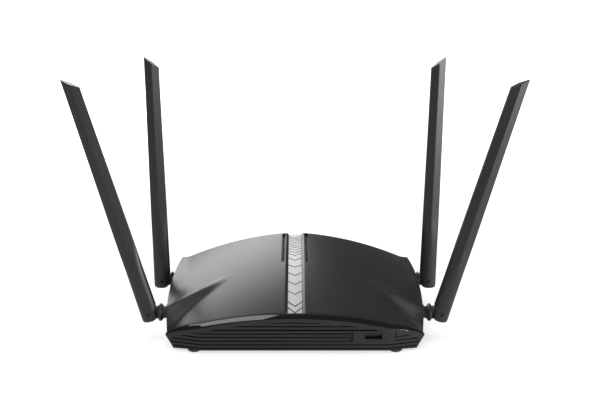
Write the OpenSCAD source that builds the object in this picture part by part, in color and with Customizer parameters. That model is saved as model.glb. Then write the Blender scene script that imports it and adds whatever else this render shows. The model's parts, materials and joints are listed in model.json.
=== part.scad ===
// Desk wireless router with four hinged blade antennas.
// Frame: +Z up, front towards -Y, origin on the table under the middle of the housing.

/* [Housing] */
// Width of the housing at its widest, across the side walls
body_w = 227; // [218:1:274]
// Width of the housing across its two front corners
front_w = 215; // [204:1:218]
// Depth of the top surface, from the front edge to the rear edge
top_d = 150; // [144:1:180]
// Height of the top surface above the table at the front edge, on the centre line
front_h = 34.6; // [33:0.2:40]
// Height of the top surface above the table at the rear edge, on the centre line
rear_h = 53.4; // [50:0.2:64]
// Height of the parting line between the top cover and the bottom tray
waist_z = 13.4; // [13:0.1:14]
// Wall thickness of the top cover
cover_wall = 2.4; // [2:0.1:2.8]
// Wall thickness of the bottom tray
tray_wall = 2.2; // [1.8:0.1:2.6]
// Gap under the housing, which the rubber feet stand in
foot_h = 2.2; // [1.6:0.1:3]

/* [Front] */
// Vertical pitch of the front louvres
rib_pitch = 3.3; // [2.8:0.1:4]
// Height of the open groove between two louvres
rib_gap = 1.2; // [0.8:0.1:1.6]
// Depth of the louvre grooves
rib_depth = 1.5; // [0.8:0.1:2]
// Height of the gloss band under the front edge of the cover
band_h = 3.7; // [3:0.1:4.5]
// Height of the smooth rim between the gloss band and the first louvre
rim_h = 3.2; // [2.4:0.1:5]

/* [Centre strip] */
// Width of the channel along the middle of the cover
channel_w = 16.6; // [14:0.1:20]
// Width of the chevron strip that lies in the channel
strip_w = 12.4; // [10:0.1:13]
// Depth of the strip's face below the cover
strip_sink = 2; // [1.6:0.1:2.4]
// Length of each vent beside the channel
vent_l = 66; // [40:1:68]
// Width of each vent
vent_w = 3.4; // [3:0.1:4.2]

/* [Antennas] */
// Hinge pin to the middle of the tip
blade_l = 202.5; // [140:0.5:244]
// Width of a blade at its hinge
blade_w = 15.4; // [12:0.1:15.6]
// Width of a blade at its tip
blade_tip_w = 12.2; // [11:0.1:13]
// Thickness of a blade at its hinge
blade_t = 11; // [10.4:0.1:12.4]
// Thickness of a blade between its two ridges
ridge_t = 9; // [8:0.1:10]
// Lean of the front pair away from upright, outwards
front_lean = 14.9; // [0:0.1:24]
// Hinge pins' distance from the housing's widest line
hinge_out = 11.2; // [11:0.1:14]
// Height of the antennas' swivel axes
hinge_z = 24; // [23:0.1:24.2]
// Front swivel axes, measured back from the front edge of the cover
front_hub = 26.5; // [24:0.5:32]
// Distance between the front and the rear swivel axes
hub_pitch = 73.8; // [62:0.2:88]
// Radius of the swivel shafts
shaft_r = 3.6; // [3:0.1:4.4]
// Radius of the hinge pins
pin_r = 1.5; // [1.2:0.1:1.8]
// Running clearance of shafts and pins in their bores, on the radius
fit_gap = 0.05; // [0.02:0.01:0.1]

/* [Board and ports] */
// Thickness of the circuit board
board_t = 1.6; // [1:0.1:2]
// Height of the board's underside above the tray's floor
board_lift = 4.6; // [3.6:0.1:5.4]
// Pitch of the LAN sockets
lan_pitch = 14; // [13.6:0.1:17]
// Width of the plug opening of a network socket
rj_w = 11.8; // [11.6:0.1:12]
// Height of the plug opening of a network socket
rj_h = 6.9; // [6.6:0.1:7.2]
// Distance of the USB port from the centre line
usb_x = 65; // [56:0.5:67]
// Travel of the power button
power_travel = 2; // [1:0.1:2.4]
// Travel of the pairing button
pair_travel = 0.8; // [0.4:0.1:1.2]
// Travel of the reset button inside its pinhole
reset_travel = 0.4; // [0.2:0.1:0.6]

/* [Hidden] */
$fn = 48;
slack = 0.3;               // clearance between pieces that only stand near each other
seat = 0.02;               // gap between faces that seat on each other
bite = 1;                  // how far joined shapes reach into each other, and cuts past a face

// housing
y_front = -top_d/2 - 1;    // front edge of the cover's top surface
y_rear = y_front + top_d;  // rear edge of the cover's top surface
y_face = y_front - 2;      // plane of the front louvres
front_t = 3.6;             // depth of the louvred front, from its face to the housing behind it
body_hw = body_w/2;
front_hw = front_w/2;
sweep_x = 78;              // where the front starts to sweep back, from the centre line
sweep_d = 7.6;             // how far the front corners sweep back
rear_bow = 1.2;            // how far the rear corners sit in front of the rear edge's middle
foot_in = 7;               // how far the side walls draw in from the waist to the bottom
floor_z = foot_h + tray_wall;
board_z = floor_z + board_lift;
board_top = board_z + board_t;

// arch of the top surface
arch_front = [0.005, 0.00136];   // slope and curve of the arch across the front edge
arch_rear = [0.05, 0.0018];      // and across the rear edge
corner_drop = 1.5;               // extra fall of the front corners
function clip(t) = min(1, max(0, t));
function ease(t) = clip(t)*clip(t)*(3 - 2*clip(t));
function lerp(a, b, t) = a + (b - a)*t;
function sweep(x) = sweep_d*clip((abs(x) - sweep_x)/(front_hw - sweep_x));
function span(x, y) = clip((y - y_front - sweep(x))/(top_d - sweep(x)));
function crown(t) = lerp(front_h, rear_h, t*(2 - t));
function arch(x, t) = crown(t) - (lerp(arch_front, arch_rear, t)*[abs(x), x*x])
    - corner_drop*pow(clip((abs(x) - 90)/(front_hw - 90)), 2)*(1 - ease(5*t));

// fairing over each front socket: a ridge that runs inwards and back, and fades into the arch
hub_y = [y_front + front_hub, y_front + front_hub + hub_pitch];
fair_from = [57, hub_y[0] + 43];
fair_to = [front_hw + 2, hub_y[0] - 1];
fair_h = 9.8;
function along(p) = ((p - fair_from)*(fair_to - fair_from))/pow(norm(fair_to - fair_from), 2);
function aside(p) = norm(p - fair_from - along(p)*(fair_to - fair_from));
function fairing(x, y) =
    let (p = [abs(x), y], t = clip(along(p)), q = clip(aside(p)/(2 + 15*t)))
    fair_h*pow(t, 1.35)*pow(1 - q*q, 2);

// shelf: the surface levels out beside a crease that starts in each rear corner
shelf_x = body_hw - 9.5;   // crease at the rear edge
shelf_lean = 8;            // how far the crease draws in towards the front
shelf_rise = 0.36;
shelf_blend = 3;
function soft(d) = d < 0 ? 0 : d < shelf_blend ? d*d/(2*shelf_blend) : d - shelf_blend/2;
function shelf(x, y) = shelf_rise*soft(abs(x) - shelf_x + shelf_lean*(y_rear - y)/top_d)
    *ease((y - y_front - 45)/45);
function top_z(x, y) = arch(x, span(x, y)) + fairing(x, y) + shelf(x, y);
function ridge_z(y) = crown(span(0, y));

// plan of the housing
function half_w(t) = front_hw + (body_hw - front_hw)*sin(90*clip(t/0.45)) - 1.6*pow(clip((t - 0.65)/0.35), 2);
function front_y(x) = y_front - 2 + front_t + sweep(x);
function rear_y(x) = y_rear - rear_bow*pow(x/body_hw, 2);
function side_x(y) = half_w((y - front_y(front_hw))/(rear_y(body_hw) - front_y(front_hw)));

// the cover's grid: columns run from -cols to cols, rows from the front edge to the rear edge
cols = 15;
rows = 18;
knee = 11;                 // the column that runs back from where the front starts to sweep
channel_d = 3.6;           // depth of the channel's floor
channel_slope = 0.4;       // how far each channel wall leans in
rib_w = channel_w/2;
function grid_x(i, t, inset) =
    let (a = abs(i), edge = half_w(t) - inset,
    knee_x = sweep_x*edge/(front_hw - inset))
    sign(i)*(a == 0 ? 0 : a == 1 ? rib_w - channel_slope + inset
        : a < knee ? lerp(rib_w + inset, knee_x, (a - 2)/(knee - 2)) : lerp(knee_x, edge, (a - knee)/(cols - knee)));
function grid_xy(i, j, inset) =
    let (t = j/rows, x = grid_x(i, t, inset), u = x*(front_hw - inset)/(half_w(t) - inset))
    [x, lerp(front_y(u) + inset, rear_y(x) - inset, t)];
function grid_z(i, p, inset) = (abs(i) < 2 ? ridge_z(p[1]) - channel_d : top_z(p[0], p[1])) - inset;
function grid(inset) = [for (j = [0:rows]) for (i = [-cols:cols])
    let (p = grid_xy(i, j, inset)) [p[0], p[1], grid_z(i, p, inset)]];
width = 2*cols + 1;
function cell(i, j) = j*width + i + cols;
border = concat([for (i = [-cols:cols]) cell(i, 0)], [for (j = [1:rows]) cell(cols, j)],
    [for (i = [cols - 1:-1:-cols]) cell(i, rows)], [for (j = [rows - 1:-1:1]) cell(-cols, j)]);

// rear
panel_hw = 96;             // half width of the rear panel
panel_top = 28;
panel_t = 2.4;
panel_y = y_rear - 1;      // outer face of the rear panel
port_depth = 16;
port_y = panel_y - port_depth;
rj_body = [15.2, 13.5];    // width and height of one network socket
internet_x = -52;
lan_x = 2;                 // middle of the four LAN sockets
power_x = 46;
inlet_x = 72;
pair_x = -84;
reset_x = -71;
button_z = board_top + 6;
button_end = -y_face;      // rearmost plane: the power button's cap

// sockets and swivels
flange_t = 3;
flange_r = 5;
barrel_r = shaft_r + 0.9;
barrel_l = 6;
let_in = 1.4;              // how deep a socket's flange is let into the side wall
flange_out = [1.4, 0];     // how far the flange stands proud, front and rear
hinge_x = body_hw + hinge_out;
flange_x = [side_x(hub_y[0]) + flange_out[0], side_x(hub_y[1]) + flange_out[1]];
seat_x = [side_x(hub_y[0]) - let_in, side_x(hub_y[1]) - let_in];
barrel_x = [seat_x[0] - barrel_l, seat_x[1] - barrel_l];
ring_r = 7.5;
neck_r = 5.4;
tongue_t = 5;
tongue_r = 5;
ring_in = 10.8;            // the swivel's ring: its inner and outer face, inwards from the hinge pin
ring_out = 8.4;
neck_end = 8;
clip_t = 1.2;
clip_r = shaft_r + 0.6;
groove_r = shaft_r - 0.7;
cable_r = 0.7;
cable_bore = 1.3;

// blades
blade_round = blade_w/2;   // rounding of a blade's foot, about the hinge pin
tip_rise = 4.4;            // how far the tip's outer corner stands above its middle
barrel_len = 58;           // length of a blade's oval lower part
edge_t = 1.4;              // thickness of a blade's long edges
aerial_w = 7.6;
aerial_t = 0.8;
aerial_l = 118;
aerial_z = 24;
cavity_gap = 0.4;

// board and what stands on it
board_hw = front_hw - 25;
board_y = [front_y(0) + 11, panel_y - 4];
post_at = [[board_hw - 12, board_y[0] + 9], [board_hw - 12, board_y[0] + 88], [12, board_y[0] + 50]];
column_at = [[front_hw - 17.5, front_y(0) + 13], [front_hw - 17.5, rear_y(0) - 26]];
foot_at = [[front_hw - 23.5, y_front + 4.2], [front_hw - 23.5, y_rear - 14]];
foot_r = 6;
usb_size = [13.2, 5.8];
usb_mouth = [14.4, 5.2];
usb_lift = 1.7;
usb_z = board_top + usb_lift + usb_size[1]/2;
sink_at = [-34, -14];
sink_size = [44, 40];
led_y = [for (k = [0:4]) y_front + 24 + 12*k];
led_h = 0.9;
pipe_r = 1.3;

// ---------- helpers ----------
function middle(ring) = [for (a = [0:2]) ([for (p = ring) 1]*[for (p = ring) p[a]])/len(ring)];
// a closed solid through rings of points that all have the same count, with a fan over each end
module loft(rings) {
    n = len(rings[0]);
    m = len(rings);
    points = concat([for (r = rings) for (p = r) p], [middle(rings[0]), middle(rings[m - 1])]);
    sides = [for (k = [0:m - 2]) for (i = [0:n - 1]) let (a = k*n + i, b = k*n + (i + 1)%n)
        each [[a, a + n, b + n], [a, b + n, b]]];
    ends = [for (i = [0:n - 1]) let (k = (i + 1)%n)
        each [[n*m, i, k], [n*m + 1, (m - 1)*n + k, (m - 1)*n + i]]];
    polyhedron(points, concat(sides, ends), convexity = 8);
}
module both_sides() {
    children();
    mirror([1, 0, 0]) children();
}
module box(x, y, z) {
    translate([x[0], y[0], z[0]]) cube([x[1] - x[0], y[1] - y[0], z[1] - z[0]]);
}
module along_y(y) {
    translate([0, y[1], 0]) rotate([90, 0, 0]) linear_extrude(y[1] - y[0]) children();
}
// a prism whose outline is drawn in Y and Z and which runs along X
module along_x(x) {
    translate([x[0], 0, 0]) rotate([90, 0, 90]) linear_extrude(x[1] - x[0]) children();
}
module bar_x(x, r) {
    translate([x[0], 0, 0]) rotate([0, 90, 0]) cylinder(h = x[1] - x[0], r = r);
}
module bar_y(y, r) {
    translate([0, y[1], 0]) rotate([90, 0, 0]) cylinder(h = y[1] - y[0], r = r);
}
module post(z, r) {
    translate([0, 0, z[0]]) cylinder(h = z[1] - z[0], r = r);
}
// children at a hub: 0 is the front one, 1 the rear one
module at_hub(i) {
    translate([0, hub_y[i], hinge_z]) children();
}

// ---------- housing ----------
function column_top(p) = top_z(p[0], p[1]) - 1.4;
module cover_shell() {
    n = len(border);
    outer = grid(0);
    inner = grid(cover_wall);
    size = len(outer);
    points = concat(outer, inner,
        [for (k = border) [outer[k][0], outer[k][1], waist_z]],
        [for (k = border) [inner[k][0], inner[k][1], waist_z]]);
    top = [for (j = [0:rows - 1]) for (i = [-cols:cols - 1])
        let (a = cell(i, j), b = cell(i + 1, j), c = cell(i + 1, j + 1), d = cell(i, j + 1))
        each (i < 0 ? [[a, c, b], [a, d, c]] : [[a, d, b], [b, d, c]])];
    under = [for (f = top) [for (k = [2:-1:0]) f[k] + size]];
    skirts = [for (k = [0:n - 1])
        let (l = (k + 1)%n, a = border[k], b = border[l], c = 2*size + k, d = 2*size + l)
        each [[a, b, c], [b, d, c], [b + size, a + size, c + n], [d + n, b + size, c + n],
            [c, d, c + n], [d, d + n, c + n]]];
    polyhedron(points, concat(top, under, skirts), convexity = 12);
}
module usb_opening(y) {
    box([usb_x - usb_mouth[0]/2, usb_x + usb_mouth[0]/2], y, [usb_z - usb_mouth[1]/2, usb_z + usb_mouth[1]/2]);
}
vent_x = rib_w + 0.9 + vent_w/2;
vent_y = [y_rear - 2.5 - vent_l, y_rear - 2.5];
module top_cover() color([0.09, 0.09, 0.1]) difference() {
    union() {
        cover_shell();
        both_sides() for (p = column_at)
            translate([p[0], p[1], 0]) post([waist_z + seat, column_top(p)], 3.4);
    }
    both_sides() for (p = column_at)
        translate([p[0], p[1], 0]) post([waist_z - bite, waist_z + 9], 1.25);
    both_sides() box([vent_x - vent_w/2, vent_x + vent_w/2], vent_y, [ridge_z(vent_y[0]) - 8, rear_h + bite]);
    both_sides() for (i = [0, 1]) at_hub(i) {
        bar_x([barrel_x[i], hinge_x], barrel_r + fit_gap);
        bar_x([seat_x[i], hinge_x], flange_r + fit_gap);
        bar_x([barrel_x[i] - 3.8, barrel_x[i] + bite], clip_r + slack);
    }
    for (y = led_y) translate([0, y, 0]) post([waist_z, rear_h], pipe_r + fit_gap);
    box([-panel_hw, panel_hw], [panel_y - 8, y_rear + bite], [waist_z - bite, panel_top]);
    usb_opening([y_front - bite, y_front + 8]);
}

// rings around the tray: at a height, drawn in from the waist's outline
function ring_point(i, j, z, inset, taper) =
    let (p = grid_xy(i, j, inset), x = p[0]*(1 - taper/body_hw), back = 2*taper/foot_in*j/rows)
    [x, p[1] - back, z];
function tray_ring(z, inset, taper) = [for (k = border)
    ring_point(k%width - cols, floor(k/width), z, inset, taper)];
module tray_shell() {
    inner_taper = foot_in*(waist_z - floor_z)/(waist_z - foot_h);
    loft([tray_ring(foot_h, 0, foot_in), tray_ring(waist_z, 0, 0),
        tray_ring(waist_z, tray_wall, 0), tray_ring(floor_z, tray_wall, inner_taper)]);
}
boss_r = 4.2;
head_r = 2.7;
head_top = foot_h + 3.4;
module bottom_tray() color([0.07, 0.07, 0.08]) difference() {
    union() {
        tray_shell();
        both_sides() for (p = column_at)
            translate([p[0], p[1], 0]) post([floor_z - 0.6, waist_z - seat], boss_r);
        both_sides() for (p = post_at)
            translate([p[0], p[1], 0]) post([floor_z - 0.6, board_z - seat], 3);
    }
    both_sides() for (p = column_at) translate([p[0], p[1], 0]) {
        post([foot_h - bite, head_top], head_r + slack);
        post([foot_h, waist_z + bite], 1.6);
    }
    both_sides() for (p = post_at) translate([p[0], p[1], 0]) post([floor_z, board_z + bite], 1.05);
    both_sides() for (k = [0:8]) box([20, 48], [-38 + 9*k, -35 + 9*k], [foot_h - bite, floor_z + bite]);
    box([-panel_hw, panel_hw], [panel_y - 8, y_rear + bite], [floor_z, waist_z + bite]);
    usb_opening([y_front - bite, y_front + 8]);
}

// front view of the louvred front, lowered from the arch by drop and drawn in at its ends by inset
cheek_z = 13;
cheek_x = front_hw + 0.9;
foot_x = cheek_x - 6.5;
lip_x = foot_x - 11;         // beyond here the front's lower edge dips by lip_h
lip_h = 0.6;
cheek_sweep = sweep_d*(cheek_x + bite - sweep_x)/(front_hw - sweep_x);
// places along half of the front edge, with one where the front starts to sweep back
function front_x(k) = sign(k)*(abs(k) <= 15 ? sweep_x*abs(k)/15 : lerp(sweep_x, front_hw, (abs(k) - 15)/7));
front_n = 22;
function brow_z(x) = arch(x, 0) - band_h;
module front_view(drop, inset) {
    polygon(concat([[lip_x, foot_h + drop/4], [foot_x - inset, foot_h - lip_h + drop/4], [cheek_x - 2*inset, max(cheek_z, foot_h + drop) - drop/4]],
        [for (k = [front_n:-1:-front_n]) let (x = front_x(k)) [x*(1 - 2*inset/front_hw), brow_z(x) - seat - drop]],
        [[-cheek_x + 2*inset, max(cheek_z, foot_h + drop) - drop/4], [-foot_x + inset, foot_h - lip_h + drop/4],
        [-lip_x, foot_h + drop/4]]));
}
// plan of a strip along the front: its outer edge lies inset behind the louvres' plane
module front_plan(inset, depth) {
    polygon([[-cheek_x - bite, y_face + cheek_sweep + inset], [-sweep_x, y_face + inset],
        [sweep_x, y_face + inset], [cheek_x + bite, y_face + cheek_sweep + inset],
        [cheek_x + bite, y_face + cheek_sweep + depth], [sweep_x, y_face + depth],
        [-sweep_x, y_face + depth], [-cheek_x - bite, y_face + cheek_sweep + depth]]);
}
panel_x = [usb_x - 17.6, usb_x + 18.4];
louvres = floor((front_h - band_h - rim_h - foot_h - 2)/rib_pitch);
module louvre(k) {
    z = foot_h + 1.4 + rib_pitch*k;
    crosses = z + rib_gap > usb_z - 4.2 && z < usb_z + 4.2;
    difference() {
        translate([0, 0, z]) linear_extrude(rib_gap) front_plan(-bite, rib_depth);
        if (crosses) box(panel_x, [y_face - 2*bite, 0], [z - bite, z + rib_gap + bite]);
    }
}
module front_grille() color([0.08, 0.08, 0.09]) difference() {
    intersection() {
        along_y([y_face - bite, y_face + 20]) front_view(0, 0);
        linear_extrude(rear_h) front_plan(0, front_t - seat);
    }
    intersection() {
        along_y([y_face - 2*bite, y_face + 20]) front_view(rim_h, 1.4);
        for (k = [0:louvres]) louvre(k);
    }
    for (x = panel_x) box([x - 0.8, x + 0.8], [y_face - bite, y_face + 2], [usb_z - 4.6, usb_z + 4.6]);
    usb_opening([y_face - bite, y_face + 20]);
}
module gloss_band() color([0.02, 0.02, 0.025]) {
    loft([for (k = [-front_n:front_n]) let (x = front_x(k), y = y_front - 2 + sweep(x), z = arch(x, 0),
            b = front_t - seat)
        [[x, y, z - band_h + seat], [x, y + b, z - band_h + seat], [x, y + b, z], [x, y + 2, z]]]);
}

// ---------- centre strip ----------
strip_y = [y_front + 2, y_rear - 0.6];
// side view of a band that follows the cover's crown, between two depths below it
module crown_band(y, depth) {
    n = 16;
    places = [for (k = [0:n]) lerp(y[0], y[1], k/n)];
    polygon(concat([for (p = places) [p, ridge_z(p) - depth[0]]],
        [for (k = [n:-1:0]) [places[k], ridge_z(places[k]) - depth[1]]]));
}
module chevron_strip() color([0.8, 0.8, 0.82])
    along_x([-strip_w/2, strip_w/2]) crown_band(strip_y, [strip_sink, channel_d - 0.08]);
module light_guide() color([0.85, 0.9, 0.95]) {
    bar_z = board_top + 8;
    for (y = led_y) translate([0, y, 0]) post([board_top + led_h + slack, ridge_z(y) - channel_d - 0.4], pipe_r);
    box([-1.2, 1.2], [led_y[0] - 2, led_y[4] + 2], [bar_z, bar_z + 2]);
    for (y = [led_y[0] + 6, led_y[4] - 6]) translate([0, y, 0]) {
        post([board_top + seat, bar_z + 1], 1.4);
    }
}
// ladders that close the two vents, a little below the cover's face
module vent_grids() color([0.05, 0.05, 0.055]) both_sides() {
    gap = slack/2;
    rung = 1.2;
    rungs = floor(vent_l/4.4);
    for (s = [-1, 1]) let (x = vent_x + s*(vent_w/2 - gap - 0.35))
        along_x([x - 0.35, x + 0.35]) crown_band([vent_y[0] + gap, vent_y[1] - gap], [1, 2.6]);
    for (k = [0:rungs - 1]) let (y = vent_y[0] + 2.2 + k*(vent_l - 4.4)/(rungs - 1), z = ridge_z(y) - 1.3)
        box([vent_x - vent_w/2 + gap + 0.3, vent_x + vent_w/2 - gap - 0.3], [y - rung/2, y + rung/2], [z - 1, z]);
}

// ---------- rear ----------
module rj_hole(x) {
    box([x - rj_body[0]/2 - slack, x + rj_body[0]/2 + slack], [panel_y - 4, panel_y + bite],
        [board_top - bite, board_top + rj_body[1] + slack]);
}
lan_w = 3*lan_pitch + rj_body[0];
power_cap = [12, 7];
module rear_panel() color([0.07, 0.07, 0.08]) difference() {
    box([-panel_hw + seat, panel_hw - seat], [panel_y - panel_t, panel_y], [floor_z + seat, panel_top - seat]);
    box([lan_x - lan_w/2 - slack, lan_x + lan_w/2 + slack], [panel_y - 4, panel_y + bite],
        [board_top - bite, board_top + rj_body[1] + slack]);
    rj_hole(internet_x);
    translate([inlet_x, 0, board_top + 5.6]) bar_y([panel_y - 4, panel_y + bite], 4.4);
    box([power_x - power_cap[0]/2 - slack, power_x + power_cap[0]/2 + slack], [panel_y - 4, panel_y + bite],
        [button_z - power_cap[1]/2 - slack, button_z + power_cap[1]/2 + slack]);
    translate([pair_x, 0, button_z]) bar_y([panel_y - 4, panel_y + bite], 3 + slack);
    translate([reset_x, 0, button_z]) bar_y([panel_y - 4, panel_y + bite], 1.1);
}
module socket_row(x, count) {
    w = (count - 1)*lan_pitch + rj_body[0];
    difference() {
        box([x - w/2, x + w/2], [port_y, panel_y], [board_top + seat, board_top + rj_body[1]]);
        for (k = [0:count - 1]) let (c = x + (k - (count - 1)/2)*lan_pitch) {
            box([c - rj_w/2, c + rj_w/2], [port_y + 3, panel_y + bite],
                [board_top + 3.2, board_top + 3.2 + rj_h]);
            box([c - 3, c + 3], [port_y + 3, panel_y + bite], [board_top + 3, board_top + 4.6 + rj_h]);
        }
    }
    for (k = [0:count - 1]) let (c = x + (k - (count - 1)/2)*lan_pitch)
        for (n = [-3.5:3.5])
            box([c + n*1.02 - 0.2, c + n*1.02 + 0.2], [port_y + 3 - 0.4, port_y + 8],
                [board_top + 3.6, board_top + 4]);
}
module lan_sockets() color([0.75, 0.72, 0.3]) socket_row(lan_x, 4);
module internet_socket() color([0.2, 0.35, 0.7]) socket_row(internet_x, 1);
module power_inlet() color([0.04, 0.04, 0.04]) {
    z = board_top + 5.6;
    difference() {
        union() {
            box([inlet_x - 4.5, inlet_x + 4.5], [port_y + 2, panel_y - panel_t - slack],
                [board_top + seat, board_top + 11]);
            translate([inlet_x, 0, z]) bar_y([port_y + 4, panel_y], 4.1);
        }
        translate([inlet_x, 0, z]) bar_y([panel_y - 10, panel_y + bite], 3.1);
    }
    translate([inlet_x, 0, z]) bar_y([panel_y - 10.5, panel_y - 1], 1);
}
stem = 3;
switch_y = [port_y - 1, port_y + 9];
module power_switch() color([0.1, 0.1, 0.1]) difference() {
    box([power_x - 5, power_x + 5], switch_y, [board_top + seat, board_top + 10]);
    box([power_x - stem/2 - slack, power_x + stem/2 + slack], [switch_y[1] - power_travel - 3, switch_y[1] + bite],
        [button_z - stem/2 - slack, button_z + stem/2 + slack]);
}
module power_button() color([0.12, 0.12, 0.13]) {
    box([power_x - power_cap[0]/2, power_x + power_cap[0]/2],
        [panel_y - panel_t - 0.6, button_end],
        [button_z - power_cap[1]/2, button_z + power_cap[1]/2]);
    box([power_x - stem/2, power_x + stem/2], [switch_y[1] - 2, panel_y - panel_t],
        [button_z - stem/2, button_z + stem/2]);
}
// a small push switch on the board whose plunger hole faces the rear
module push_switch(x, y, r, travel) {
    difference() {
        box([x - 3.2, x + 3.2], [y - 5, y], [board_top + seat, board_top + 9]);
        translate([x, 0, button_z]) bar_y([y - travel - 1.4, y + bite], r + slack);
    }
}
pair_y = panel_y - panel_t - 3.4;
module pair_switch() color([0.3, 0.3, 0.32]) push_switch(pair_x, pair_y, 1.4, pair_travel);
module pair_button() color([0.12, 0.12, 0.13]) translate([pair_x, 0, button_z]) {
    bar_y([panel_y - panel_t - 0.8, panel_y + 1.4], 3);
    bar_y([pair_y - 1, panel_y - panel_t], 1.4);
    bar_y([panel_y - panel_t - 1.7, panel_y - panel_t - 0.5], 4);
}
reset_y = panel_y - panel_t - 2.4;
module reset_switch() color([0.3, 0.3, 0.32]) push_switch(reset_x, reset_y, 1, reset_travel);
module reset_button() color([0.12, 0.12, 0.13]) translate([reset_x, 0, button_z]) {
    bar_y([reset_y - 1, panel_y - panel_t - 0.3], 1);
}

// ---------- board ----------
module main_board() color([0.05, 0.22, 0.12]) difference() {
    box([-board_hw, board_hw], board_y, [board_z, board_top]);
    both_sides() for (p = post_at) translate([p[0], p[1], 0]) post([board_z - bite, board_top + bite], 1.6);
}
module board_screws() color([0.6, 0.6, 0.62]) both_sides() for (p = post_at) translate([p[0], p[1], 0]) {
    post([board_z - 4, board_top + seat + 0.2], 1);
    post([board_top + seat, board_top + 1.7], 2.4);
}
module case_screws() color([0.6, 0.6, 0.62]) both_sides() for (p = column_at) translate([p[0], p[1], 0]) {
    post([head_top - 2, head_top - seat], head_r);
    post([head_top - 1, waist_z + 8], 1.2);
}
module rubber_feet() color([0.03, 0.03, 0.03]) both_sides() for (p = foot_at)
    translate([p[0], p[1], 0]) post([0, foot_h - seat], foot_r);
module heat_sink() color([0.55, 0.56, 0.58]) {
    x = sink_at[0];
    y = sink_at[1];
    base_z = board_top + 2.2;
    box([x - sink_size[0]/2, x + sink_size[0]/2], [y - sink_size[1]/2, y + sink_size[1]/2], [base_z, base_z + 2]);
    for (k = [0:8]) let (c = x - sink_size[0]/2 + 1 + k*(sink_size[0] - 2)/8)
        box([c - 0.6, c + 0.6], [y - sink_size[1]/2, y + sink_size[1]/2], [base_z + 1.5, base_z + 12]);
}
module shield_cans() color([0.7, 0.7, 0.7]) {
    for (c = [[34, -36], [34, -2]]) difference() {
        box([c[0] - 15, c[0] + 15], [c[1] - 13, c[1] + 13], [board_top + seat, board_top + 3]);
        box([c[0] - 14.6, c[0] + 14.6], [c[1] - 12.6, c[1] + 12.6], [board_top - bite, board_top + 2.6]);
    }
}
module chip(c, w, l, h) {
    box([c[0] - w/2, c[0] + w/2], [c[1] - l/2, c[1] + l/2], [board_top + seat, board_top + h]);
}
module chips() color([0.06, 0.06, 0.07]) {
    chip(sink_at, 19, 19, 2.18);
    chip([34, -36], 9, 9, 1);
    chip([34, -2], 9, 9, 1);
    chip([-34, 20], 10, 13, 1.2);
    chip([-52, 26], 8, 6, 1.4);
    chip([-52, 42], 30, 12, 4);
    chip([lan_x, 42], 54, 12, 4);
}
module capacitors() color([0.2, 0.2, 0.45]) for (c = [[56, 36], [66, 39], [50, 24], [59, 24]])
    translate([c[0], c[1], 0]) post([board_top + seat, board_top + 9], 3.1);
module status_leds() color([0.9, 0.9, 0.8]) for (y = led_y)
    chip([0, y], 1.6, 1.2, led_h);
module usb_port() color([0.7, 0.7, 0.72]) {
    x = [usb_x - usb_size[0]/2, usb_x + usb_size[0]/2];
    y = [front_y(0) + cover_wall + slack, front_y(0) + cover_wall + 14];
    difference() {
        box(x, y, [usb_z - usb_size[1]/2, usb_z + usb_size[1]/2]);
        box([x[0] + 0.35, x[1] - 0.35], [y[0] - bite, y[1] - 2], [usb_z - usb_size[1]/2 + 0.35, usb_z + usb_size[1]/2 - 0.35]);
    }
    box([usb_x - 5.6, usb_x + 5.6], [y[0] + 1, y[1] - 1], [usb_z - 1.9, usb_z - 0.1]);
    for (s = [-1, 1]) box([usb_x + s*5.5 - 1, usb_x + s*5.5 + 1], [y[0] + 11.6 - 8, y[1] - 1], [board_top + seat, usb_z - usb_size[1]/2 + 0.2]);
}

// ---------- antennas ----------
module antenna_sockets() color([0.07, 0.07, 0.08]) both_sides() for (i = [0, 1]) at_hub(i) difference() {
    union() {
        bar_x([seat_x[i] + seat, flange_x[i]], flange_r);
        bar_x([barrel_x[i], seat_x[i] + 1], barrel_r);
    }
    bar_x([barrel_x[i] - bite, flange_x[i] + bite], shaft_r + fit_gap);
}
// everything on a hub is drawn about the hinge pin, for the right-hand side
module swivel(i) color([0.09, 0.09, 0.1]) translate([hinge_x, 0, 0]) at_hub(i) {
    inner = barrel_x[i] - hinge_x;
    difference() {
        union() {
            bar_x([inner - 3.4, -ring_in + bite], shaft_r);
            bar_x([flange_x[i] - hinge_x + slack, -ring_out], neck_r);
            rotate([0, 90, 0]) rotate_extrude() polygon([[0, -ring_in], [ring_r - 1, -ring_in], [ring_r, -ring_in + 0.8],
                [ring_r, -ring_out - 0.8], [ring_r - 1, -ring_out], [0, -ring_out]]);
            bar_x([-ring_out - 0.2, -neck_end], neck_r);
            box([-neck_end - 0.6, 0], [-tongue_t/2, tongue_t/2], [-tongue_r + 0.4, tongue_r - 0.4]);
            bar_y([-tongue_t/2, tongue_t/2], tongue_r);
        }
        bar_y([-tongue_t, tongue_t], pin_r + fit_gap);
        bar_x([inner - slack - clip_t - 0.1, inner - slack + 0.05], shaft_r + bite);
        bar_x([inner - 4, -ring_out - 1], cable_bore);
    }
    difference() {
        bar_x([inner - slack - clip_t - 0.2, inner - slack + 0.15], groove_r);
        bar_x([inner - 4, -ring_out - 1], cable_bore);
    }
}
module snap_clip(i) color([0.6, 0.6, 0.62]) translate([barrel_x[i], 0, 0]) at_hub(i) difference() {
    bar_x([-slack - clip_t, -slack], clip_r);
    bar_x([-slack - clip_t - bite, -slack + bite], groove_r + fit_gap);
    box([-3, 3], [-1, 1], [0, 8]);
}
module hinge_pin(i) color([0.5, 0.5, 0.52]) translate([hinge_x, 0, 0]) at_hub(i)
    bar_y([-blade_t/2 + 0.9, blade_t/2 - 0.9], pin_r);

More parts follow.
